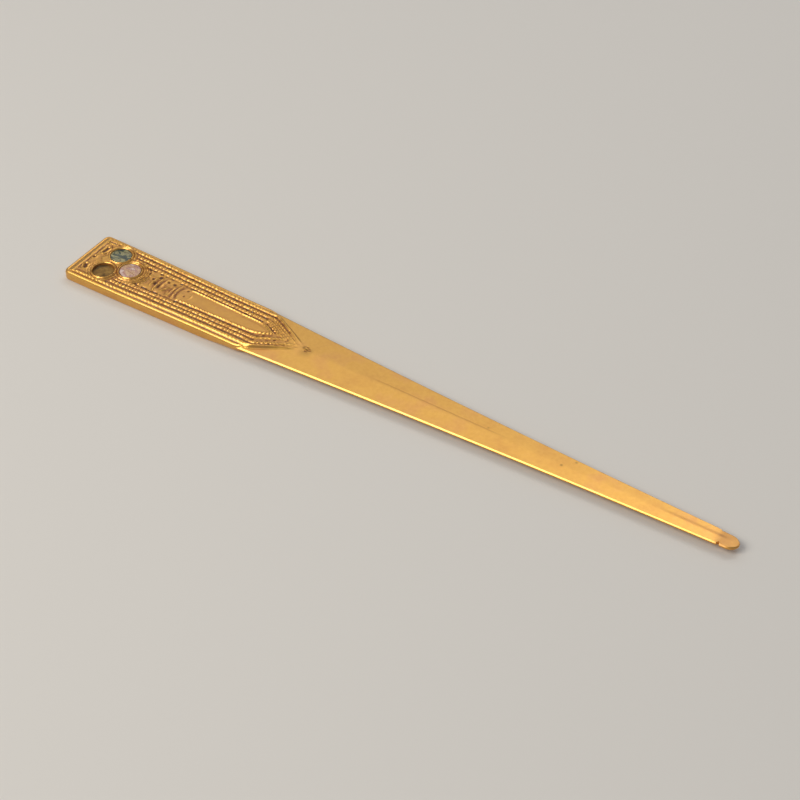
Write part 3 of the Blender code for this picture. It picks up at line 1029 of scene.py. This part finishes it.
def domedDisc(name, kind, material):
    # a round tablet: a short cylinder whose top is poked to a low crown with an uneven rim
    cx, cy, cadTop = cells[kind]
    shape = tablets[kind]
    radius, top = shape["radius"], cadTop + shape["top"]
    bm = bmesh.new()
    bmesh.ops.create_cone(
        bm, cap_ends=True, segments=tablets["segments"], radius1=radius * mm, radius2=radius * mm, depth=mm
    )
    bmesh.ops.poke(bm, faces=[max(bm.faces, key=lambda face: face.calc_center_median().z)])
    for vert in bm.verts:
        x, y = vert.co.x / mm, vert.co.y / mm
        z = shape["bottom"]
        if vert.co.z > 0:
            reach = math.hypot(x, y) / radius
            z = top - (shape["crown"] + tablets["edgeDrop"]) * reach**2
            z += shape["uneven"] * float(mottle(x + 9, y + 9, tablets["lumpSize"], shape["row"]))
        vert.co.z = z * mm
    bmesh.ops.recalc_face_normals(bm, faces=bm.faces)
    bmesh.ops.translate(bm, verts=bm.verts, vec=Vector(toFrame(cx, cy, 0.0)))
    obj = newObject(name, bm, material)
    obj.data.set_sharp_from_angle(angle=sharpAngle)
    return obj


# Stage, light and camera, in metres here

studio = {
    "floor": "E2DFDA",
    "world": ("E8EDF6", 0.3),
    "lights": (  # name, place, size, watts, colour
        ("window", (0.06, 0.67, 0.87), (0.5, 0.5), 1.3, "FFF8F0"),
        ("ceiling", (-0.52, 0.7, 1.08), (1.3, 0.9), 2.75, "FFFAF0"),
        ("fill", (-0.4, -0.69, 0.83), (0.7, 0.6), 7.2, "FFF8EC"),
    ),
    "lens": 85.1,
    "sensorWidth": 36,
    "clipStart": 0.01,
    "cameraPlace": (344.9, -340.1, 374.6),  # mm, x from the butt
    "cameraTarget": (119.6, 0.2, 0),
}


def addFloor():
    bm = bmesh.new()
    bmesh.ops.create_grid(bm, x_segments=1, y_segments=1, size=1.5)
    material, tree, shader = newMaterial("pale matt card")
    feed(tree, shader, [("Base Color", linear(studio["floor"])), ("Roughness", 0.9)])
    floor = newObject("floor", bm, material)


def aimed(name, data, place, target):
    obj = bpy.data.objects.new(name, data)
    obj.location = place
    obj.rotation_euler = (Vector(target) - Vector(place)).to_track_quat("-Z", "Y").to_euler()
    bpy.context.scene.collection.objects.link(obj)
    return obj


def addStudio():
    colour, strength = studio["world"]
    world = bpy.data.worlds.new("studio")
    world.use_nodes = True
    background = world.node_tree.nodes["Background"]
    feed(world.node_tree, background, [("Color", linear(colour)), ("Strength", strength)])
    bpy.context.scene.world = world
    for name, place, size, watts, colour in studio["lights"]:
        light = bpy.data.lights.new(name, "AREA")
        light.shape = "RECTANGLE"
        light.size, light.size_y = size
        light.energy = watts
        light.color = linear(colour)[:3]
        aimed(name, light, place, (0, 0, 0))


def addCamera():
    camera = bpy.data.cameras.new("camera")
    camera.lens = studio["lens"]
    camera.sensor_width = studio["sensorWidth"]
    camera.clip_start = studio["clipStart"]
    place, target = toFrame(*studio["cameraPlace"]), toFrame(*studio["cameraTarget"])
    bpy.context.scene.camera = aimed("camera", camera, place, target)


sharpAngle = math.radians(50)

addCamera()
addStudio()
addFloor()
bpy.context.scene.view_settings.view_transform = "Standard"
print("camera, lights and floor set")

bronze = gildedBronze()
casting = newObject("casting", castingMesh(), bronze)
cutCells(casting)
reliefAndPaintedShadeAttribute(casting)
casting.data.shade_smooth()
casting.data.set_sharp_from_angle(angle=sharpAngle)
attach(casting, "root")
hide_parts("letter_opener_casting")
print("casting:", len(casting.data.vertices), "points")

greenShell = shell("green abalone shell, polished", "green")
pinkShell = shell("pink abalone shell, polished", "pink")
cement = resinCement()
green = domedDisc("greenDisc", "green", greenShell)
pink = domedDisc("pinkDisc", "pink", pinkShell)
crust = domedDisc("emptyCellCement", "empty", cement)
for piece, nodeName, slot in (
    (green, "green_shell_disc", "green_shell"),
    (pink, "pink_shell_disc", "pink_shell"),
    (crust, "empty_cell_cement", "old_cement"),
):
    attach(piece, "root")
    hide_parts(nodeName)
for name in ("green_disc_cement", "pink_disc_cement"):
    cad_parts[name].data.materials.clear()
    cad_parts[name].data.materials.append(cement)
print("discs and cement set in their cells")
